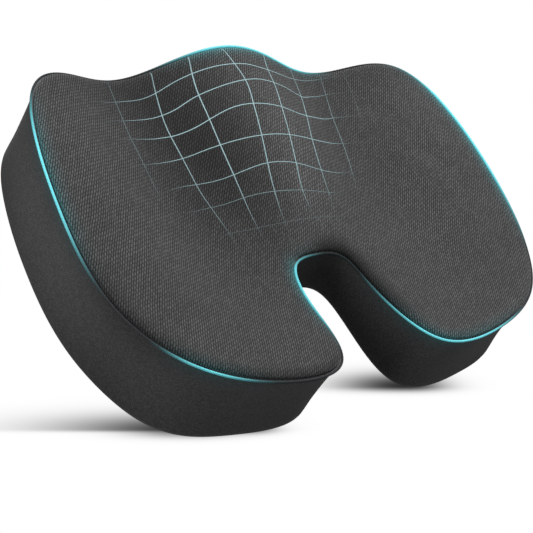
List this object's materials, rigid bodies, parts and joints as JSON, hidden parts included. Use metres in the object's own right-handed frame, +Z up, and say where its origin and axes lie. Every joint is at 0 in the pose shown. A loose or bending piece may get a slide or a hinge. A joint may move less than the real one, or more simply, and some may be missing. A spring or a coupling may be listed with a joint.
{
  "type": "seat cushion",
  "caption": "Contoured foam seat cushion with two thigh channels, a front ridge, a rear tailbone notch and a zipped cover.",
  "frame": {"origin": "lower face of the middle grip dot, on the plane of symmetry and level with the surface the cushion rests on", "axes": "+Z up, +X across the seat, -Y towards the sitter's knees (front edge with zip and handle), +Y towards the tailbone notch"},
  "size_m": [0.4546, 0.3244, 0.0922],
  "materials": {
    "foam": "open-cell foam, matt cream",
    "liner": "thin white stretch knit",
    "top_fabric": "dark grey knitted fabric with a fine short-dash weave, matt",
    "side_fabric": "darker grey fine knit, matt",
    "base_fabric": "black woven base cloth, matt",
    "grip": "black silicone, satin",
    "piping": "pale cyan corded edge, soft sheen",
    "label": "blank white satin tape",
    "zip_tape": "black woven tape",
    "zip_plastic": "black nylon",
    "zip_metal": "gunmetal, satin",
    "thread": "dark grey polyester thread",
    "webbing": "black ribbed webbing"
  },
  "bodies": {
    "cushion": {"foam_core": "foam", "inner_liner_upper": "liner", "inner_liner_lower": "liner", "top_panel": "top_fabric", "side_band": "side_fabric", "front_band_upper": "side_fabric", "front_band_lower": "side_fabric", "bottom_panel": "base_fabric", "grip_dots": "grip", "top_piping": "piping", "care_label": "label", "zip_tape_upper": "zip_tape", "zip_tape_lower": "zip_tape", "zip_teeth_upper": "zip_plastic", "zip_teeth_lower": "zip_plastic", "zip_top_stops": "zip_metal", "zip_bottom_stop": "zip_metal", "zip_stitching": "thread", "handle_ends": "webbing", "handle_stitching": "thread"},
    "slider": {"zip_slider": "zip_metal"},
    "pull": {"zip_pull": "zip_metal"},
    "handle": {"handle_grip": "webbing"}
  },
  "joints": [
    {"name": "zip_slide", "type": "slide", "parent": "cushion", "child": "slider", "axis": [-1, 0, 0], "range_m": [0, 0.25]},
    {"name": "pull_swing", "type": "hinge", "parent": "slider", "child": "pull", "pos_m": [0.127, -0.15175, 0.026], "axis": [0, 0, 1], "range_deg": [0, 165]},
    {"name": "handle_swing", "type": "hinge", "parent": "cushion", "child": "handle", "pos_m": [0, -0.15, 0.048], "axis": [1, 0, 0], "range_deg": [-30, 30]}
  ]
}
